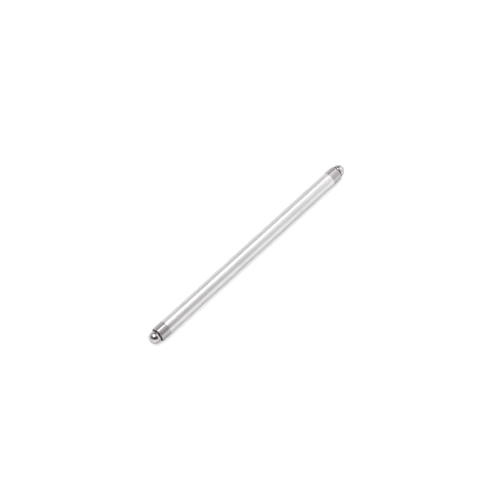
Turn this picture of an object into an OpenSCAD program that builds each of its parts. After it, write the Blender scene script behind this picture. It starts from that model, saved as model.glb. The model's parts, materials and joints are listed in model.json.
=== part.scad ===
// Engine pushrod: a hollow aluminium tube with a turned steel ball end pressed into each mouth.
// The rod lies along X with its middle at the origin, the tappet's ball at -X, the rocker's at +X.
// Each piece is turned, so each is one half section revolved about the rod's axis.

/* [Rod] */
// Length over the two balls
overall_length = 141.3; // [100:0.1:220]
// Outside diameter of the tube, which the collars are ground flush with
rod_d = 7.9; // [7:0.1:12]

/* [Tube] */
// Diameter of the tube's bore
bore_d = 5; // [3.5:0.1:6.5]
// Chamfer round each outer end of the tube, left by deburring
tube_chamfer = 0.05; // [0.02:0.01:0.4]
// Chamfer at each mouth of the bore, which leads the spigot in
mouth_chamfer = 0.4; // [0.1:0.05:0.8]

/* [Ball end] */
// Diameter of the ball
ball_d = 6.5; // [5.5:0.1:8]
// Distance from the collar's end face to the ball's centre
ball_standoff = 1.75; // [1:0.05:2.5]
// Length of the collar, from the tube's end to the end face
collar_length = 5.7; // [3:0.1:15]
// Chamfer round the collar's end face, beside the ball
face_chamfer = 0.3; // [0.1:0.05:0.6]
// Chamfer round the collar's shoulder, beside the tube, left by deburring
shoulder_chamfer = 0.05; // [0.02:0.01:0.4]
// Diameter of the neck, at the bottom of the undercut behind the ball
neck_d = 4.9; // [3.5:0.1:5.4]
// Width of the undercut, whose bottom is a full radius
undercut_w = 0.8; // [0.4:0.05:1.2]

/* [Spigot] */
// Length of the spigot that is pressed into the bore
spigot_length = 9; // [5:0.5:20]
// Chamfer round the spigot's inner end
spigot_chamfer = 0.5; // [0.2:0.05:1]
// Width of the relief groove that lets the shoulder seat flat on the tube
relief_w = 0.8; // [0.4:0.05:1.5]
// Depth of the relief groove
relief_depth = 0.25; // [0.1:0.05:0.6]
// Radial gap that stands for the press fit's interference
press_gap = 0.01; // [0.005:0.005:0.03]

/* [Hidden] */
$fn = 96;

rod_r = rod_d / 2;
bore_r = bore_d / 2;
ball_r = ball_d / 2;
neck_r = neck_d / 2;
spigot_r = bore_r - press_gap;
ball_height = collar_length + ball_standoff;
tip_length = ball_height + ball_r;
tube_length = overall_length - 2 * tip_length;

aluminium_colour = [0.88, 0.88, 0.89];
steel_colour = [0.64, 0.62, 0.62];

// Half section of the tube: bore to the left, outside to the right, both ends chamfered
module tube_section() {
    end = tube_length / 2;
    polygon([
        [bore_r, mouth_chamfer - end],
        [bore_r + mouth_chamfer, -end],
        [rod_r - tube_chamfer, -end],
        [rod_r, tube_chamfer - end],
        [rod_r, end - tube_chamfer],
        [rod_r - tube_chamfer, end],
        [bore_r + mouth_chamfer, end],
        [bore_r, end - mouth_chamfer],
    ]);
}

// Half section of the spigot, below the shoulder at height 0
module spigot_section() {
    relief_r = spigot_r - relief_depth;
    polygon([
        [0, -spigot_length],
        [spigot_r - spigot_chamfer, -spigot_length],
        [spigot_r, spigot_chamfer - spigot_length],
        [spigot_r, -relief_w],
        [relief_r, -relief_w],
        [relief_r, 0],
        [0, 0],
    ]);
}

// Half section of the collar, from the shoulder to the end face
module collar_section() {
    polygon([
        [0, 0],
        [rod_r - shoulder_chamfer, 0],
        [rod_r, shoulder_chamfer],
        [rod_r, collar_length - face_chamfer],
        [rod_r - face_chamfer, collar_length],
        [0, collar_length],
    ]);
}

// Half disc that sweeps the ball
module ball_section() {
    intersection() {
        translate([0, ball_height]) circle(r = ball_r);
        translate([0, ball_height - ball_r]) square([ball_r, ball_d]);
    }
}

// Round-bottomed slot that frees the ball from the collar's end face
module undercut_section() {
    bottom_r = undercut_w / 2;
    translate([neck_r + bottom_r, collar_length + bottom_r]) circle(r = bottom_r);
    translate([neck_r + bottom_r, collar_length]) square([ball_r, undercut_w]);
}

// Half section of a whole ball end, with its shoulder at height 0 and its ball upward
module ball_end_section() {
    spigot_section();
    difference() {
        union() {
            collar_section();
            ball_section();
        }
        undercut_section();
    }
}

// Turns a half section about the rod's axis, with its height along +X
module turned() {
    rotate([0, 90, 0]) rotate_extrude() children();
}

module tube() {
    color(aluminium_colour) turned() tube_section();
}

module rocker_ball_end() {
    color(steel_colour)
        translate([tube_length / 2, 0, 0])
            turned() ball_end_section();
}

module tappet_ball_end() {
    color(steel_colour)
        rotate([0, 0, 180])
            translate([tube_length / 2, 0, 0])
                turned() ball_end_section();
}

tube();
tappet_ball_end();
rocker_ball_end();
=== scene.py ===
"""Engine pushrod: a bright aluminium tube with a turned steel ball end in each mouth.

Each piece is drawn as a half section, turned about the rod's axis, and dressed in its finishes. The rod
lies along X with its middle at the origin. Lengths are in metres and angles in degrees, unless a name says
otherwise.
"""

import json
import logging
import math
from collections.abc import Callable
from dataclasses import dataclass, field
from enum import Enum

import bpy
from mathutils import Matrix, Vector


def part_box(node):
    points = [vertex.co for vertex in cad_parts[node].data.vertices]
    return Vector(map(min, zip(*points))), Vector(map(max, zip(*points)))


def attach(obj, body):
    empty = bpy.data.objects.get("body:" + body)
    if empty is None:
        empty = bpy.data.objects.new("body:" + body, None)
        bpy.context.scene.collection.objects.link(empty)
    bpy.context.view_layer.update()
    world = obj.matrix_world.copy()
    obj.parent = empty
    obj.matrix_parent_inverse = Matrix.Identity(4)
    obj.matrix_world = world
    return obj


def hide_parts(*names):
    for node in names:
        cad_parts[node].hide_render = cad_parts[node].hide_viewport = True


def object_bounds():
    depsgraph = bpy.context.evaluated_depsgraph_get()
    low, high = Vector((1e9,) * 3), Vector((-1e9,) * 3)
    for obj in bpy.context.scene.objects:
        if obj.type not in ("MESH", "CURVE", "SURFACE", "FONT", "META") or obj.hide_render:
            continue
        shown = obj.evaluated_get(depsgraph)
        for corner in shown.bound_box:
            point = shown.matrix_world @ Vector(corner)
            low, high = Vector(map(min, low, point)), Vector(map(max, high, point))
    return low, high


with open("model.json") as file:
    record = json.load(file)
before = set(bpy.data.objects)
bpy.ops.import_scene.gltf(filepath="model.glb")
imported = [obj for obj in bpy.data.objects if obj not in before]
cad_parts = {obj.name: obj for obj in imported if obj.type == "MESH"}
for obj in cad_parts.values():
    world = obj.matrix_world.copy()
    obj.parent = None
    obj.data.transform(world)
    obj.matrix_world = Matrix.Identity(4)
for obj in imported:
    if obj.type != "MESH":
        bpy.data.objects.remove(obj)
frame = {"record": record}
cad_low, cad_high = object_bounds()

log = logging.getLogger("pushrod")

MM = 0.001
RIGHT_ANGLE = 90.0
BODY = "root"

Colour = tuple[float, float, float]
FaceTest = Callable[[float], bool]
Point = tuple[float, float]
Socket = bpy.types.NodeSocket
Span = tuple[float, float]


class End(Enum):
    """The two ends of the rod, each with the way that it points along X."""

    TAPPET = -1
    ROCKER = 1

    @property
    def node(self) -> str:
        """Name of the end's solid."""
        return f"{self.name.lower()}_ball_end"

    @property
    def seat(self) -> dict:
        """The mount that stands for the end's ball."""
        return find_mount(f"{self.name.lower()}_seat")


def find_mount(name: str) -> dict:
    """Looks up the entry of one of the part's mounts, by its name in the record."""
    return next(mount for mount in frame["record"]["mounts"] if mount["name"] == name)


def direction(azimuth: float, elevation: float) -> Vector:
    """Gives the unit vector at a bearing, 0 towards -Y and 90 towards +X, and an angle above the floor."""
    turn, rise = math.radians(azimuth), math.radians(elevation)
    return Vector((math.sin(turn) * math.cos(rise), -math.cos(turn) * math.cos(rise), math.sin(rise)))


# Half sections and turning


@dataclass
class HalfSection:
    """Half of a turned piece's section, as points of (place along the rod, radius)."""

    points: list[Point] = field(default_factory=list)

    def line(self, along: float, radius: float, steps: int = 1) -> None:
        """Draws a straight stretch on from the last point, or sets the first point.

        Args:
            along: place along the rod of the stretch's end.
            radius: radius of the stretch's end.
            steps: number of equal lengths that the stretch is split into.
        """
        if not self.points:
            self.points.append((along, radius))
            return
        start_along, start_radius = self.points[-1]
        for step in range(1, steps + 1):
            share = step / steps
            self.points.append((
                start_along + (along - start_along) * share,
                start_radius + (radius - start_radius) * share,
            ))

    def arc(self, centre: Point, size: float, start: float, stop: float, steps: int) -> None:
        """Draws a round stretch, whose first point is the last point that was drawn.

        Args:
            centre: the arc's centre, as place along the rod and radius.
            size: the arc's own radius.
            start: angle of the first point, where 0 is along +X and 90 is straight out from the axis.
            stop: angle of the last point.
            steps: number of equal angles that the arc is split into.
        """
        for step in range(1, steps + 1):
            angle = math.radians(start + (stop - start) * step / steps)
            self.points.append((
                centre[0] + size * math.cos(angle),
                centre[1] + size * math.sin(angle),
            ))


@dataclass(frozen=True)
class Lathe:
    """Turns half sections into closed pieces.

    Attributes:
        segments: number of steps in a whole turn.
        merge_gap: distance under which two points become one.
        edge_round: width of the rounding on sharp edges.
        edge_segments: number of faces across that rounding.
        sharp_angle: angle between two faces from which their edge is sharp.
    """

    segments: int = 192
    merge_gap: float = 0.0005 * MM
    edge_round: float = 0.012 * MM
    edge_segments: int = 2
    sharp_angle: float = 25.0

    def turn(self, name: str, section: HalfSection, closed: bool) -> bpy.types.Object:
        """Turns a half section about the rod's axis and rounds its sharp edges a little.

        Args:
            name: the piece's name.
            section: the half section to turn.
            closed: whether the section's last point joins its first, as on a tube.

        Returns:
            The turned piece, with its place in its mesh.
        """
        self._draw(name, section, closed)
        bpy.ops.mesh.select_all(action="SELECT")
        bpy.ops.mesh.spin(steps=self.segments, angle=math.tau, center=(0, 0, 0), axis=(1, 0, 0))
        bpy.ops.mesh.select_all(action="SELECT")
        bpy.ops.mesh.remove_doubles(threshold=self.merge_gap)
        bpy.ops.mesh.normals_make_consistent(inside=False)
        bpy.ops.object.mode_set(mode="OBJECT")
        self._round_edges()
        return bpy.context.active_object

    def _draw(self, name: str, section: HalfSection, closed: bool) -> None:
        """Draws a half section as a chain of edges, and stays in edit mode.

        Args:
            name: the piece's name.
            section: the half section to draw.
            closed: whether the chain's last point joins its first.
        """
        bpy.ops.object.select_all(action="DESELECT")
        bpy.ops.mesh.primitive_plane_add(size=MM)
        piece = bpy.context.active_object
        piece.name = name
        piece.data.name = name
        bpy.ops.object.mode_set(mode="EDIT")
        bpy.ops.mesh.select_mode(type="VERT")
        bpy.ops.mesh.merge(type="CENTER")
        last = Vector((section.points[0][0], 0, section.points[0][1]))
        bpy.ops.transform.translate(value=last)
        for along, radius in section.points[1:]:
            place = Vector((along, 0, radius))
            bpy.ops.mesh.extrude_vertices_move(TRANSFORM_OT_translate={"value": place - last})
            last = place
        if closed:
            self._join_ends()

    def _join_ends(self) -> None:
        """Joins the two loose ends of a chain with one more edge."""
        bpy.ops.mesh.select_mode(type="VERT")
        bpy.ops.mesh.select_all(action="DESELECT")
        bpy.ops.object.mode_set(mode="OBJECT")
        vertices = bpy.context.active_object.data.vertices
        vertices[0].select = True
        vertices[len(vertices) - 1].select = True
        bpy.ops.object.mode_set(mode="EDIT")
        bpy.ops.mesh.edge_face_add()

    def _round_edges(self) -> None:
        """Rounds the active piece's sharp edges and shades the rest smooth."""
        piece = bpy.context.active_object
        bpy.ops.object.modifier_add(type="BEVEL")
        bevel = piece.modifiers[-1]
        bevel.width = self.edge_round
        bevel.segments = self.edge_segments
        bevel.limit_method = "ANGLE"
        bevel.angle_limit = math.radians(self.sharp_angle)
        bpy.ops.object.modifier_apply(modifier=bevel.name)
        bpy.ops.object.shade_smooth_by_angle(angle=math.radians(self.sharp_angle))


# Finishes

# The range that holds most of a noise's values
NOISE_MIDDLE: Span = (0.3, 0.7)
# Number of finer noises that lie over the first, in the drift of a tone and in the lines
DRIFT_DETAIL = 4.0
LINE_DETAIL = 3.0
# The turn from around the rod to along it, as a share of a whole turn
ALONG_ROD = 0.25


class NodeGraph:
    """The nodes of one material, with a short call that joins them."""

    def __init__(self, name: str) -> None:
        """Starts a material, with a node that gives each point's place.

        Args:
            name: the material's name.
        """
        self.material = bpy.data.materials.new(name)
        self.material.use_nodes = True
        self.nodes = self.material.node_tree.nodes
        self.place = self.nodes.new("ShaderNodeTexCoord").outputs["Object"]

    def link(self, output: Socket, target: Socket) -> None:
        """Joins an output to an input."""
        self.material.node_tree.links.new(output, target)


class FinishGraph(NodeGraph):
    """The nodes of one metal finish, with short calls that add and join them."""

    def __init__(self, name: str) -> None:
        """Starts a metal.

        Args:
            name: the finish's name.
        """
        super().__init__(name)
        self.shader = self.nodes["Principled BSDF"]
        self.shader.inputs["Metallic"].default_value = 1.0

    def noise(self, scale: Vector, detail: float) -> Socket:
        """Adds a noise over the piece.

        Args:
            scale: number of noise cells in a metre, along each axis.
            detail: number of finer noises that are laid over the first.

        Returns:
            The noise's value, from about 0.25 to 0.75.
        """
        mapping = self.nodes.new("ShaderNodeMapping")
        mapping.inputs["Scale"].default_value = scale
        self.link(self.place, mapping.inputs["Vector"])
        noise = self.nodes.new("ShaderNodeTexNoise")
        noise.inputs["Scale"].default_value = 1.0
        noise.inputs["Detail"].default_value = detail
        self.link(mapping.outputs["Vector"], noise.inputs["Vector"])
        return noise.outputs[0]

    def lines(self, spacing: float, length: float) -> Socket:
        """Adds fine lines around the rod, of a spacing and a length, and gives their height."""
        return self.noise(Vector((1 / spacing, 1 / length, 1 / length)), LINE_DETAIL)

    def spread(self, value: Socket, low: float, high: float) -> Socket:
        """Spreads a noise's middle range over a range of values.

        Args:
            value: the noise's value.
            low: what a low value of the noise becomes.
            high: what a high value of the noise becomes.

        Returns:
            The value in the new range.
        """
        spread = self.nodes.new("ShaderNodeMapRange")
        spread.inputs["From Min"].default_value, spread.inputs["From Max"].default_value = NOISE_MIDDLE
        spread.inputs["To Min"].default_value, spread.inputs["To Max"].default_value = low, high
        self.link(value, spread.inputs["Value"])
        return spread.outputs["Result"]

    def tint(self, value: Socket, dark: Colour, light: Colour) -> None:
        """Colours the metal between two tones.

        Args:
            value: the noise that picks the tone.
            dark: tone at a low value.
            light: tone at a high value.
        """
        ramp = self.nodes.new("ShaderNodeValToRGB")
        stops = ramp.color_ramp.elements
        stops[0].position, stops[1].position = NOISE_MIDDLE
        stops[0].color = (*dark, 1.0)
        stops[1].color = (*light, 1.0)
        self.link(value, ramp.inputs["Fac"])
        self.link(ramp.outputs["Color"], self.shader.inputs["Base Color"])

    def roughen(self, value: Socket, low: float, high: float) -> None:
        """Varies the metal's roughness with a noise."""
        self.link(self.spread(value, low, high), self.shader.inputs["Roughness"])

    def stretch(self, amount: float) -> None:
        """Stretches reflections along the rod, across the lines.

        Args:
            amount: how far they are stretched, from 0 to 1.
        """
        around = self.nodes.new("ShaderNodeTangent")
        around.direction_type = "RADIAL"
        around.axis = "X"
        self.link(around.outputs["Tangent"], self.shader.inputs["Tangent"])
        self.shader.inputs["Anisotropic"].default_value = amount
        self.shader.inputs["Anisotropic Rotation"].default_value = ALONG_ROD

    def bump(self, height: Socket, depth: float) -> None:
        """Lays a relief over the surface.

        Args:
            height: the relief's height, from 0 to 1.
            depth: the relief's full depth.
        """
        bump = self.nodes.new("ShaderNodeBump")
        bump.inputs["Strength"].default_value = 1.0
        bump.inputs["Distance"].default_value = depth
        self.link(height, bump.inputs["Height"])
        self.link(bump.outputs["Normal"], self.shader.inputs["Normal"])


@dataclass(frozen=True)
class LinedMetal:
    """A metal whose tool left fine lines around it, with a tone that drifts over it.

    Attributes:
        name: the finish's name.
        dark: the darkest tone.
        light: the lightest tone.
        smooth: the lowest roughness.
        rough: the highest roughness.
        line_spacing: distance between two lines.
        line_length: length of a line.
        line_depth: depth of the lines.
        drift: distance over which the tone drifts.
        stretch: how far reflections are stretched along the rod, from 0 to 1.
    """

    name: str
    dark: Colour
    light: Colour
    smooth: float
    rough: float
    line_spacing: float
    line_length: float
    line_depth: float
    drift: float
    stretch: float = 0.0

    def make(self) -> bpy.types.Material:
        """Builds the finish.

        Returns:
            The finish's material.
        """
        graph = FinishGraph(self.name)
        drift = graph.noise(Vector((1, 1, 1)) / self.drift, DRIFT_DETAIL)
        lines = graph.lines(self.line_spacing, self.line_length)
        graph.tint(drift, self.dark, self.light)
        graph.roughen(lines, self.smooth, self.rough)
        graph.bump(lines, self.line_depth)
        graph.stretch(self.stretch)
        return graph.material


BRIGHT_ALUMINIUM = LinedMetal(
    name="bright_aluminium",
    dark=(0.875, 0.87, 0.865),
    light=(0.935, 0.93, 0.925),
    smooth=0.33,
    rough=0.58,
    line_spacing=0.07 * MM,
    line_length=4 * MM,
    line_depth=0.0006 * MM,
    drift=7 * MM,
    stretch=0.72,
)

GROUND_STEEL = LinedMetal(
    name="ground_steel",
    dark=(0.56, 0.54, 0.545),
    light=(0.64, 0.62, 0.625),
    smooth=0.285,
    rough=0.37,
    line_spacing=0.05 * MM,
    line_length=3 * MM,
    line_depth=0.0004 * MM,
    drift=3 * MM,
    stretch=0.96,
)

POLISHED_STEEL = LinedMetal(
    name="polished_steel",
    dark=(0.62, 0.605, 0.6),
    light=(0.67, 0.655, 0.65),
    smooth=0.05,
    rough=0.1,
    line_spacing=0.08 * MM,
    line_length=2 * MM,
    line_depth=0.0002 * MM,
    drift=2 * MM,
)

# Painted shade: a dark brown-grey colour on the undercut and the collar's end face beside it, standing for
# the shade in the groove. Its roughness and lines are the steel's own.
UNDERCUT_PAINTED_SHADE = LinedMetal(
    name="dark_undercut",
    dark=(0.15, 0.12, 0.126),
    light=(0.27, 0.223, 0.23),
    smooth=0.4,
    rough=0.55,
    line_spacing=0.1 * MM,
    line_length=2 * MM,
    line_depth=0.003 * MM,
    drift=1.5 * MM,
)


@dataclass
class Dresser:
    """Keeps each finish's material, so that pieces share it, and lays finishes on faces."""

    materials: dict[str, bpy.types.Material] = field(default_factory=dict)

    def material(self, finish: LinedMetal) -> bpy.types.Material:
        """Makes a finish's material the first time that it is asked for.

        Args:
            finish: the finish.

        Returns:
            The finish's material.
        """
        if finish.name not in self.materials:
            self.materials[finish.name] = finish.make()
        return self.materials[finish.name]

    def dress(self, piece: bpy.types.Object, base: LinedMetal, places: dict[LinedMetal, FaceTest]) -> None:
        """Lays one finish over a piece, and others where faces lie in their places.

        Args:
            piece: the piece to dress.
            base: the finish of every other face.
            places: for each further finish, a test of a face's place along the rod.
        """
        bpy.ops.object.select_all(action="DESELECT")
        piece.select_set(True)
        bpy.context.view_layer.objects.active = piece
        piece.data.materials.append(self.material(base))
        for number, (finish, holds) in enumerate(places.items(), start=1):
            piece.data.materials.append(self.material(finish))
            bpy.ops.object.mode_set(mode="EDIT")
            bpy.ops.mesh.select_mode(type="FACE")
            bpy.ops.mesh.select_all(action="DESELECT")
            bpy.ops.object.mode_set(mode="OBJECT")
            for face in piece.data.polygons:
                face.select = holds(face.center.x)
            piece.active_material_index = number
            bpy.ops.object.mode_set(mode="EDIT")
            bpy.ops.object.material_slot_assign()
            bpy.ops.object.mode_set(mode="OBJECT")


# Sub-assemblies


@dataclass
class Tube:
    """The hollow tube between the two ball ends.

    Attributes:
        bore_radius: radius of the bore.
        mouth_chamfer: chamfer at each mouth of the bore.
        end_chamfer: chamfer round each outer end.
        rings: number of rings of faces along the outside.
        node: name of the solid that the tube replaces.
    """

    bore_radius: float = 2.5 * MM
    mouth_chamfer: float = 0.4 * MM
    end_chamfer: float = 0.05 * MM
    rings: int = 60
    node: str = "tube"

    def section(self) -> HalfSection:
        """Draws the wall's section, round from the bore at -X.

        Returns:
            The half section, whose last point joins its first.
        """
        low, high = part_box(self.node)
        outside = high.z
        mouth = self.bore_radius + self.mouth_chamfer
        wall = HalfSection()
        wall.line(low.x + self.mouth_chamfer, self.bore_radius)
        wall.line(low.x, mouth)
        wall.line(low.x, outside - self.end_chamfer)
        wall.line(low.x + self.end_chamfer, outside)
        wall.line(high.x - self.end_chamfer, outside, self.rings)
        wall.line(high.x, outside - self.end_chamfer)
        wall.line(high.x, mouth)
        wall.line(high.x - self.mouth_chamfer, self.bore_radius)
        return wall

    def build(self, lathe: Lathe, dresser: Dresser) -> bpy.types.Object:
        """Turns and dresses the tube.

        Args:
            lathe: what turns it.
            dresser: what lays its finish on.

        Returns:
            The tube, riding on the part.
        """
        piece = lathe.turn("aluminium_tube", self.section(), closed=True)
        dresser.dress(piece, BRIGHT_ALUMINIUM, {})
        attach(piece, BODY)
        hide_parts(self.node)
        return piece


@dataclass
class BallEnd:
    """A turned end: spigot, collar, undercut neck and ball in one piece.

    Attributes:
        end: which end of the rod it is.
        collar_length: length from the tube's end to the collar's end face.
        face_chamfer: chamfer round the end face.
        shoulder_chamfer: chamfer round the shoulder, beside the tube.
        neck_radius: radius at the bottom of the undercut.
        undercut_width: width of the undercut.
        spigot_radius: radius of the spigot in the tube.
        spigot_chamfer: chamfer round the spigot's inner end.
        relief_width: width of the groove between spigot and shoulder.
        relief_depth: depth of that groove.
        collar_rings: number of rings of faces along the collar.
        ball_steps: number of faces along the ball's arc.
        undercut_steps: number of faces along the undercut's arc.
        face_margin: how far behind the end face its painted shade starts.
        spigot_end: place of the spigot's inner end, outward from the rod's middle, as the places below.
        tip: place of the ball's tip.
        collar_radius: radius of the collar.
        ball_radius: radius of the ball.
        ball_centre: place of the ball's centre.
        seam: place of the tube's end.
        face: place of the collar's end face.
        undercut_end: place where the undercut meets the ball.
    """

    end: End
    collar_length: float = 5.7 * MM
    face_chamfer: float = 0.3 * MM
    shoulder_chamfer: float = 0.05 * MM
    neck_radius: float = 2.45 * MM
    undercut_width: float = 0.8 * MM
    spigot_radius: float = 2.49 * MM
    spigot_chamfer: float = 0.5 * MM
    relief_width: float = 0.8 * MM
    relief_depth: float = 0.25 * MM
    collar_rings: int = 6
    ball_steps: int = 52
    undercut_steps: int = 14
    face_margin: float = 0.02 * MM
    spigot_end: float = field(init=False)
    tip: float = field(init=False)
    collar_radius: float = field(init=False)
    ball_radius: float = field(init=False)
    ball_centre: float = field(init=False)
    seam: float = field(init=False)
    face: float = field(init=False)
    undercut_end: float = field(init=False)

    def __post_init__(self) -> None:
        """Takes the end's places along the rod and its radii from the frame."""
        low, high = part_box(self.end.node)
        self.spigot_end, self.tip = (low.x, high.x) if self.end is End.ROCKER else (-high.x, -low.x)
        self.collar_radius = high.z
        self.ball_radius = self.end.seat["dims"]["r_mm"] * MM
        self.ball_centre = self.tip - self.ball_radius
        self.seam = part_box("tube")[1].x
        self.face = self.seam + self.collar_length
        self.undercut_end = self.face + self.undercut_width

    def section(self) -> HalfSection:
        """Draws the end's section from the spigot's inner end to the ball's tip, as if it pointed to +X.

        Returns:
            The half section, which starts and ends on the axis.
        """
        relief_radius = self.spigot_radius - self.relief_depth
        bottom = self.undercut_width / 2
        ball_start = math.degrees(math.acos((self.undercut_end - self.ball_centre) / self.ball_radius))
        ball_edge = self.ball_radius * math.sin(math.radians(ball_start))
        end = HalfSection()
        end.line(self.spigot_end, 0)
        end.line(self.spigot_end, self.spigot_radius - self.spigot_chamfer)
        end.line(self.spigot_end + self.spigot_chamfer, self.spigot_radius)
        end.line(self.seam - self.relief_width, self.spigot_radius)
        end.line(self.seam - self.relief_width, relief_radius)
        end.line(self.seam, relief_radius)
        end.line(self.seam, self.collar_radius - self.shoulder_chamfer)
        end.line(self.seam + self.shoulder_chamfer, self.collar_radius)
        end.line(self.face - self.face_chamfer, self.collar_radius, self.collar_rings)
        end.line(self.face, self.collar_radius - self.face_chamfer)
        end.line(self.face, self.neck_radius + bottom)
        undercut_centre = (self.face + bottom, self.neck_radius + bottom)
        end.arc(undercut_centre, bottom, start=180, stop=360, steps=self.undercut_steps)
        end.line(self.undercut_end, ball_edge)
        end.arc((self.ball_centre, 0), self.ball_radius, start=ball_start, stop=0, steps=self.ball_steps)
        return end

    def pointed(self, section: HalfSection) -> HalfSection:
        """Points a section the way that this end points."""
        return HalfSection([(along * self.end.value, radius) for along, radius in section.points])

    def on_ball(self, along: float) -> bool:
        """Tells whether a face is on the ball."""
        return along * self.end.value > self.undercut_end

    def in_undercut(self, along: float) -> bool:
        """Tells whether a face is in the undercut or on the collar's end face beside it, where shade is
        painted.
        """
        outward = along * self.end.value
        return self.face - self.face_margin < outward <= self.undercut_end

    def build(self, lathe: Lathe, dresser: Dresser) -> bpy.types.Object:
        """Turns and dresses the end.

        Args:
            lathe: what turns it.
            dresser: what lays its finishes and its painted shade on.

        Returns:
            The end, riding on the part.
        """
        piece = lathe.turn(f"turned_{self.end.node}", self.pointed(self.section()), closed=False)
        # The ball gets its polish. The undercut and the end face beside it get painted shade.
        places = {POLISHED_STEEL: self.on_ball, UNDERCUT_PAINTED_SHADE: self.in_undercut}
        dresser.dress(piece, GROUND_STEEL, places)
        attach(piece, BODY)
        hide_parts(self.end.node)
        return piece


# Studio


class CardShape(Enum):
    """The outline of a lamp card."""

    ROUND = "round"
    OBLONG = "oblong"


def show_in_reflections(piece: bpy.types.Object) -> None:
    """Hides a stage piece from everything but reflections.

    Args:
        piece: the stage piece.
    """
    piece.visible_camera = False
    piece.visible_diffuse = False
    piece.visible_shadow = False


class StageGraph(NodeGraph):
    """The nodes of one stage piece, with short calls that add and join them."""

    def parts(self) -> tuple[Socket, ...]:
        """Splits a point's place.

        Returns:
            The place along X, Y and Z.
        """
        split = self.nodes.new("ShaderNodeSeparateXYZ")
        self.link(self.place, split.inputs["Vector"])
        return tuple(split.outputs)

    def reach(self) -> Socket:
        """Measures a point's distance from the piece's middle.

        Returns:
            The distance, in the piece's own units.
        """
        length = self.nodes.new("ShaderNodeVectorMath")
        length.operation = "LENGTH"
        self.link(self.place, length.inputs[0])
        return length.outputs["Value"]

    def reckon(self, operation: str, *values: Socket) -> Socket:
        """Reckons with one or two values.

        Args:
            operation: what to do with them.
            values: the values.

        Returns:
            The result.
        """
        node = self.nodes.new("ShaderNodeMath")
        node.operation = operation
        for value, target in zip(values, node.inputs):
            self.link(value, target)
        return node.outputs["Value"]

    def ramp(self, value: Socket, ends: Span, levels: Span) -> Socket:
        """Leads softly from one level to another.

        Args:
            value: the value that picks the level.
            ends: the values where the ramp starts and stops.
            levels: the levels before the start and after the stop.

        Returns:
            The level.
        """
        ramp = self.nodes.new("ShaderNodeMapRange")
        ramp.interpolation_type = "SMOOTHSTEP"
        ramp.inputs["From Min"].default_value, ramp.inputs["From Max"].default_value = ends
        ramp.inputs["To Min"].default_value, ramp.inputs["To Max"].default_value = levels
        self.link(value, ramp.inputs["Value"])
        return ramp.outputs["Result"]


class GlowGraph(StageGraph):
    """The nodes of a stage piece that glows."""

    def __init__(self, name: str) -> None:
        """Starts a glow.

        Args:
            name: the glow's name.
        """
        super().__init__(name)
        self.nodes.remove(self.nodes["Principled BSDF"])
        self.glow = self.nodes.new("ShaderNodeEmission")

    def finish(self, surface: Socket) -> bpy.types.Material:
        """Puts a shader on the piece's surface and gives the glow's material."""
        self.link(surface, self.nodes["Material Output"].inputs["Surface"])
        return self.material


@dataclass(frozen=True)
class LampCard:
    """A flat, soft-edged lamp that shows only as a reflection in the metal.

    Attributes:
        name: the card's name.
        shape: its outline.
        place: where its middle stands.
        width: its size along its width.
        height: its size across its width.
        radiance: strength of its light.
        tint: colour of its light.
        soft_edge: shares of its half width and half height that the light fades over.
        along: direction that its width follows, as far as the way it faces lets it.
        aim: the point that it faces.
    """

    name: str
    shape: CardShape
    place: Vector
    width: float
    height: float
    radiance: float
    tint: Colour = (1.0, 1.0, 1.0)
    soft_edge: Span = (0.3, 0.3)
    along: Vector = Vector((1, 0, 0))
    aim: Vector = Vector()

    def set_up(self) -> bpy.types.Object:
        """Sets the card up at its place, facing its aim.

        Returns:
            The card.
        """
        facing = (self.aim - self.place).normalized()
        across = facing.cross(self.along).normalized()
        sideways = across.cross(facing)
        bpy.ops.object.select_all(action="DESELECT")
        bpy.ops.mesh.primitive_plane_add(size=1, location=self.place)
        card = bpy.context.active_object
        card.name = self.name
        card.rotation_euler = Matrix((sideways, across, facing)).transposed().to_euler()
        card.scale = (self.width, self.height, 1)
        card.data.materials.append(self.light())
        show_in_reflections(card)
        return card

    def light(self) -> bpy.types.Material:
        """Builds the card's light, which fades out towards its edge.

        Returns:
            The card's material.
        """
        graph = GlowGraph(self.name)
        graph.glow.inputs["Color"].default_value = (*self.tint, 1.0)
        graph.glow.inputs["Strength"].default_value = self.radiance
        if self.shape is CardShape.ROUND:
            share = self.fade(graph, graph.reach(), self.soft_edge[0])
        else:
            along, across, _ = graph.parts()
            sideways = self.fade(graph, along, self.soft_edge[0])
            share = graph.reckon("MULTIPLY", sideways, self.fade(graph, across, self.soft_edge[1]))
        clear = graph.nodes.new("ShaderNodeBsdfTransparent")
        mix = graph.nodes.new("ShaderNodeMixShader")
        graph.link(share, mix.inputs["Fac"])
        graph.link(clear.outputs["BSDF"], mix.inputs[1])
        graph.link(graph.glow.outputs["Emission"], mix.inputs[2])
        return graph.finish(mix.outputs["Shader"])

    def fade(self, graph: GlowGraph, offset: Socket, soft: float) -> Socket:
        """Gives the share of light left at an offset from the card's middle, none at its edge."""
        edge = 0.5
        return graph.ramp(graph.reckon("ABSOLUTE", offset), (edge * (1 - soft), edge), (1, 0))


KEY_SOFTBOX = LampCard(
    name="key_softbox",
    shape=CardShape.ROUND,
    place=Vector((-0.41, 0.55, 1.88)),
    width=1.11,
    height=1.11,
    radiance=8.0,
)

FILL_BOARD = LampCard(
    name="fill_board",
    shape=CardShape.OBLONG,
    place=Vector((0.432, -0.168, 0.378)),
    width=0.44,
    height=0.6,
    radiance=1.47,
    soft_edge=(0.6, 0.6),
)

DARK_BOARD = LampCard(
    name="dark_board",
    shape=CardShape.OBLONG,
    place=Vector((-0.405, -0.144, 0.244)),
    aim=Vector((-0.405, 0, 0)),
    along=Vector((1, -0.315, -0.219)),
    width=1.08,
    height=0.5,
    radiance=0.08,
    tint=(1.3, 0.95, 0.98),
    soft_edge=(0.3, 0.565),
)

DIM_PANEL = LampCard(
    name="dim_panel",
    shape=CardShape.OBLONG,
    place=Vector((0.63, 0.66, 1.185)),
    width=0.8,
    height=1.4,
    radiance=0.14,
    soft_edge=(0.5, 0.5),
)

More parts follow.
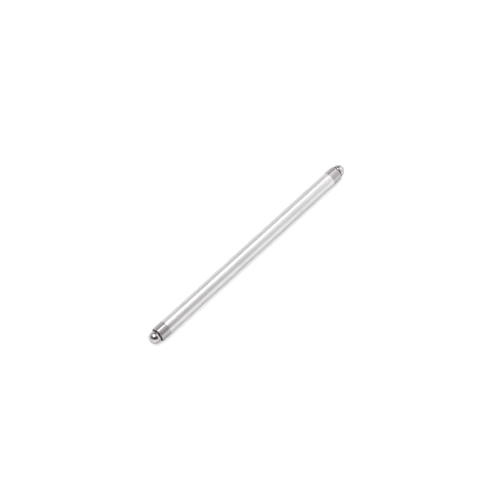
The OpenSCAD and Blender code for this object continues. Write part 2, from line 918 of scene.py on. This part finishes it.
SIDE_BOARD = LampCard(
    name="side_board",
    shape=CardShape.OBLONG,
    place=Vector((0.217, 0.19, 0.07)),
    aim=Vector((0.067, 0, 0)),
    width=0.16,
    height=0.12,
    radiance=1.1,
    soft_edge=(0.6, 0.6),
)

FRONT_BOARD = LampCard(
    name="front_board",
    shape=CardShape.OBLONG,
    place=direction(-46, 5) * 0.7,
    along=direction(44, 0),
    width=1.2,
    height=0.25,
    radiance=1.1,
    tint=(1.06, 0.98, 1.0),
)


@dataclass(frozen=True)
class Room:
    """Dim walls that only reflections show: brighter at the floor, dimmer at the back, dark in one corner.

    Attributes:
        radius: distance of the walls from the rod's middle.
        level: strength of their light.
        horizon: strength of their light at the floor.
        horizon_rise: height where the light is down to the level, as a share of the radius.
        back: share of the light that is left at the back.
        back_edge: depths where the light starts and stops to dim, as shares of the radius.
        corner: share of the light that is left in the dark corner.
        corner_way: direction of the dark corner.
        corner_edge: angles from that direction where the light starts and stops to dim.
        segments: number of faces round the walls.
        rings: number of faces from the walls' bottom to their top.
    """

    radius: float = 3.0
    level: float = 0.8
    horizon: float = 1.15
    horizon_rise: float = 0.28
    back: float = 0.74
    back_edge: Span = (-0.1, 0.4)
    corner: float = 0.35
    corner_way: Vector = Vector((-0.84, 0.42, 0.34))
    corner_edge: Span = (40.0, 15.0)
    segments: int = 64
    rings: int = 32

    def raise_walls(self) -> bpy.types.Object:
        """Puts the walls round the rod.

        Returns:
            The walls.
        """
        bpy.ops.object.select_all(action="DESELECT")
        bpy.ops.mesh.primitive_uv_sphere_add(
            segments=self.segments,
            ring_count=self.rings,
            radius=self.radius,
        )
        walls = bpy.context.active_object
        walls.name = "room"
        bpy.ops.object.shade_smooth()
        walls.data.materials.append(self.light())
        show_in_reflections(walls)
        return walls

    def light(self) -> bpy.types.Material:
        """Builds the walls' light.

        Returns:
            The walls' material.
        """
        graph = GlowGraph("dim_walls")
        graph.material.cycles.emission_sampling = "NONE"
        _, depth, height = graph.parts()
        wall = graph.ramp(height, (0, self.radius * self.horizon_rise), (self.horizon, self.level))
        back = graph.ramp(depth, tuple(self.radius * share for share in self.back_edge), (1, self.back))
        room = graph.reckon("MULTIPLY", wall, back)
        graph.link(graph.reckon("MULTIPLY", room, self.dark_corner(graph)), graph.glow.inputs["Strength"])
        return graph.finish(graph.glow.outputs["Emission"])

    def dark_corner(self, graph: GlowGraph) -> Socket:
        """Darkens one corner of the walls, out beyond the tappet's end.

        Args:
            graph: the walls' nodes.

        Returns:
            The share of light that is left.
        """
        facing = graph.nodes.new("ShaderNodeVectorMath")
        facing.operation = "DOT_PRODUCT"
        facing.inputs[1].default_value = self.corner_way.normalized()
        graph.link(graph.place, facing.inputs[0])
        edge = tuple(self.radius * math.cos(math.radians(angle)) for angle in self.corner_edge)
        return graph.ramp(facing.outputs["Value"], edge, (1, self.corner))


@dataclass
class Studio:
    """A pale floor under a soft even light, with walls and lamp cards for the metal to reflect.

    Attributes:
        floor_size: length of the floor's sides.
        floor_seen: how pale the floor is to the eye.
        floor_far: how pale it is in reflections, away from the rod.
        floor_near: how pale it is in reflections close to the rod, where a shadow of the rod is painted
            in.
        near_width: distances from the rod's line over which the painted shadow fades out.
        near_start: places along the rod over which the painted shadow fades in.
        near_end: places along the rod over which the painted shadow fades out.
        sky_strength: strength of the even light.
        camera_azimuth: bearing of the camera.
        camera_elevation: angle of the camera above the floor.
        camera_distance: distance of the camera from what it is aimed at.
        lens_mm: focal length of the camera.
        clip_start: the nearest distance that the camera shows.
        aim_right: how far right of the rod's middle the camera is aimed, in the picture.
        aim_up: how far above the rod's middle the camera is aimed, in the picture.
        room: the walls.
        cards: the lamp cards.
    """

    floor_size: float = 6.0
    floor_seen: float = 0.63
    floor_far: float = 0.42
    # Painted shadow: the floor is dimmer in reflections close to the rod.
    floor_near: float = 0.315
    near_width: Span = (5 * MM, 40 * MM)
    near_start: Span = (-80 * MM, -66 * MM)
    near_end: Span = (55 * MM, 70 * MM)
    sky_strength: float = 2.5
    camera_azimuth: float = -46.77
    camera_elevation: float = 58.69
    camera_distance: float = 0.882
    lens_mm: float = 125.9
    clip_start: float = 8.82 * MM
    aim_right: float = 0.31 * MM
    aim_up: float = 0.83 * MM
    room: Room = Room()
    cards: tuple[LampCard, ...] = (
        KEY_SOFTBOX,
        FILL_BOARD,
        DARK_BOARD,
        DIM_PANEL,
        SIDE_BOARD,
        FRONT_BOARD,
    )

    def build(self) -> None:
        """Sets up the floor, the lights and the camera."""
        self.lay_floor()
        self.light_sky()
        self.room.raise_walls()
        for card in self.cards:
            card.set_up()
            log.info("lamp card %s", card.name)
        self.set_camera()
        bpy.context.scene.view_settings.view_transform = "Standard"

    def lay_floor(self) -> None:
        """Lays the floor under the rod."""
        bpy.ops.object.select_all(action="DESELECT")
        bpy.ops.mesh.primitive_plane_add(size=self.floor_size, location=(0, 0, cad_low.z))
        floor = bpy.context.active_object
        floor.name = "floor"
        floor.data.materials.append(self.floor_paint())

    def floor_paint(self) -> bpy.types.Material:
        """Builds the floor's matt paint, dimmer in reflections so that the metal keeps its tone, with a
        shadow of the rod painted into those reflections.

        Returns:
            The floor's material.
        """
        graph = StageGraph("pale_floor")
        shader = graph.nodes["Principled BSDF"]
        shader.inputs["Roughness"].default_value = 1.0
        shader.inputs["Specular IOR Level"].default_value = 0.0
        level = graph.nodes.new("ShaderNodeMapRange")
        level.inputs["To Min"].default_value = self.floor_seen
        path = graph.nodes.new("ShaderNodeLightPath")
        graph.link(path.outputs["Is Glossy Ray"], level.inputs["Value"])
        graph.link(self.reflected_level(graph), level.inputs["To Max"])
        graph.link(level.outputs["Result"], shader.inputs["Base Color"])
        return graph.material

    def reflected_level(self, graph: StageGraph) -> Socket:
        """Paints a shadow of the rod into the floor's reflection: dimmer close to the rod, fading out
        beside it and past its ends.

        Args:
            graph: the floor's nodes.

        Returns:
            The floor's level in reflections.
        """
        along, depth, _ = graph.parts()
        beside = graph.ramp(graph.reckon("ABSOLUTE", depth), self.near_width, (1, 0))
        started = graph.ramp(along, self.near_start, (0, 1))
        lasting = graph.ramp(along, self.near_end, (1, 0))
        # Painted shadow of the rod: the share is 1 close to the rod and fades out beside it and past its
        # ends.
        shadow_share = graph.reckon("MULTIPLY", beside, graph.reckon("MULTIPLY", started, lasting))
        return graph.ramp(shadow_share, (0, 1), (self.floor_far, self.floor_near))

    def light_sky(self) -> None:
        """Lights the floor evenly from all sides, without a reflection in the metal."""
        world = bpy.data.worlds.new("even_light")
        bpy.context.scene.world = world
        world.use_nodes = True
        background = world.node_tree.nodes["Background"]
        background.inputs["Color"].default_value = (1, 1, 1, 1)
        background.inputs["Strength"].default_value = self.sky_strength
        world.cycles_visibility.glossy = False

    def set_camera(self) -> None:
        """Sets the camera where the picture was taken from."""
        back = direction(self.camera_azimuth, self.camera_elevation)
        right = direction(self.camera_azimuth + RIGHT_ANGLE, 0)
        up = back.cross(right)
        aim = right * self.aim_right + up * self.aim_up
        bpy.ops.object.select_all(action="DESELECT")
        bpy.ops.object.camera_add(location=aim + back * self.camera_distance)
        camera = bpy.context.active_object
        camera.rotation_mode = "QUATERNION"
        camera.rotation_quaternion = (-back).to_track_quat("-Z", "Y")
        camera.data.lens = self.lens_mm
        camera.data.clip_start = self.clip_start
        bpy.context.scene.camera = camera


def main() -> None:
    """Builds the part and its studio, in order."""
    logging.basicConfig(level=logging.INFO, format="%(name)s: %(message)s")
    lathe = Lathe()
    dresser = Dresser()
    for maker in (Tube(), BallEnd(End.TAPPET), BallEnd(End.ROCKER)):
        piece = maker.build(lathe, dresser)
        log.info("piece %s with %d faces", piece.name, len(piece.data.polygons))
    Studio().build()


if __name__ == "__main__":
    main()
